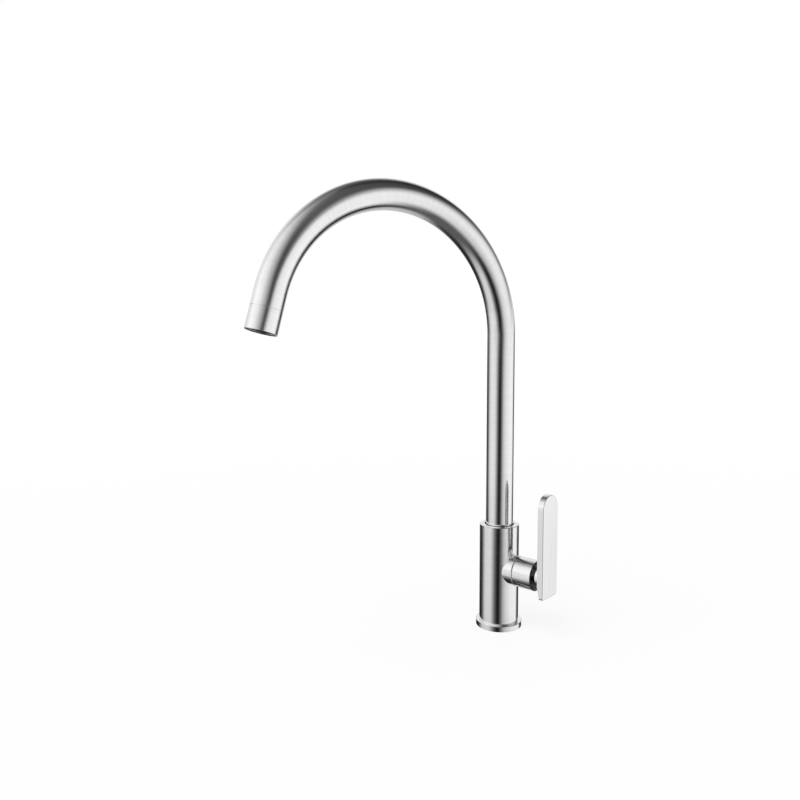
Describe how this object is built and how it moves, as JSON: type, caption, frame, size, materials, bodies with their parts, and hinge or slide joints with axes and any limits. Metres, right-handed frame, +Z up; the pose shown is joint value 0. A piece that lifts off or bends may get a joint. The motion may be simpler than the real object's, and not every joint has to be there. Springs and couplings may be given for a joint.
{
  "type": "gooseneck bar faucet",
  "caption": "Single-temperature gooseneck bar faucet with a swivelling spout, a slim upright body and a side quarter-turn paddle lever, clamped through one worktop hole.",
  "frame": {"origin": "centre of the base flange's underside, on the worktop and on the body's axis", "axes": "+Z up along the body's axis; +X along the valve's axis towards the lever; -Y is the front. At rest the spout points 16.5 degrees past the front, away from the lever."},
  "size_m": [0.1307, 0.2518, 0.449],
  "materials": {
    "brushed_stainless": "fine brushed stainless steel, bright satin",
    "turned_steel": "turned stainless steel, smoother than the shell",
    "turned_brass": "turned brass, bare",
    "black_rubber": "moulded rubber, matt",
    "plain_steel": "plain stainless fasteners",
    "white_ceramic": "lapped ceramic",
    "pale_plastic": "moulded acetal, satin",
    "dark_plastic": "moulded acetal, near black",
    "grey_plug": "grey push-in plug"
  },
  "bodies": {
    "tap_body": {"body_shell": "brushed_stainless", "base_flange": "brushed_stainless", "base_gasket": "black_rubber", "threaded_shank": "turned_brass", "shank_seal": "black_rubber", "rubber_washer": "black_rubber", "steel_washer": "plain_steel", "clamp_nut": "turned_brass", "spout_stop_screw": "plain_steel", "thrust_ring": "pale_plastic", "valve_cage": "turned_brass", "cage_o_ring": "black_rubber", "seat_seal": "black_rubber", "fixed_disc": "white_ceramic"},
    "spout": {"spout_tube": "brushed_stainless", "spout_tail": "turned_brass", "tail_o_rings": "black_rubber", "outlet_sleeve": "brushed_stainless", "aerator_housing": "dark_plastic", "aerator_grid": "dark_plastic", "aerator_diffuser": "dark_plastic", "aerator_screen": "plain_steel", "aerator_washer": "black_rubber"},
    "lever": {"turning_disc": "white_ceramic", "valve_spindle": "turned_brass", "spindle_o_rings": "black_rubber", "spindle_circlip": "plain_steel", "lever_hub": "brushed_stainless", "grub_screw": "plain_steel", "grub_plug": "grey_plug", "neck_ring": "turned_steel", "plate_screws": "plain_steel", "lever_plate": "brushed_stainless"}
  },
  "joints": [
    {"name": "spout_swivel", "type": "hinge", "parent": "tap_body", "child": "spout", "pos_m": [0, 0, 0.084], "axis": [0, 0, 1], "continuous": true},
    {"name": "lever_turn", "type": "hinge", "parent": "tap_body", "child": "lever", "pos_m": [0.0223, 0, 0.055], "axis": [1, 0, 0], "range_deg": [0, 90]}
  ]
}
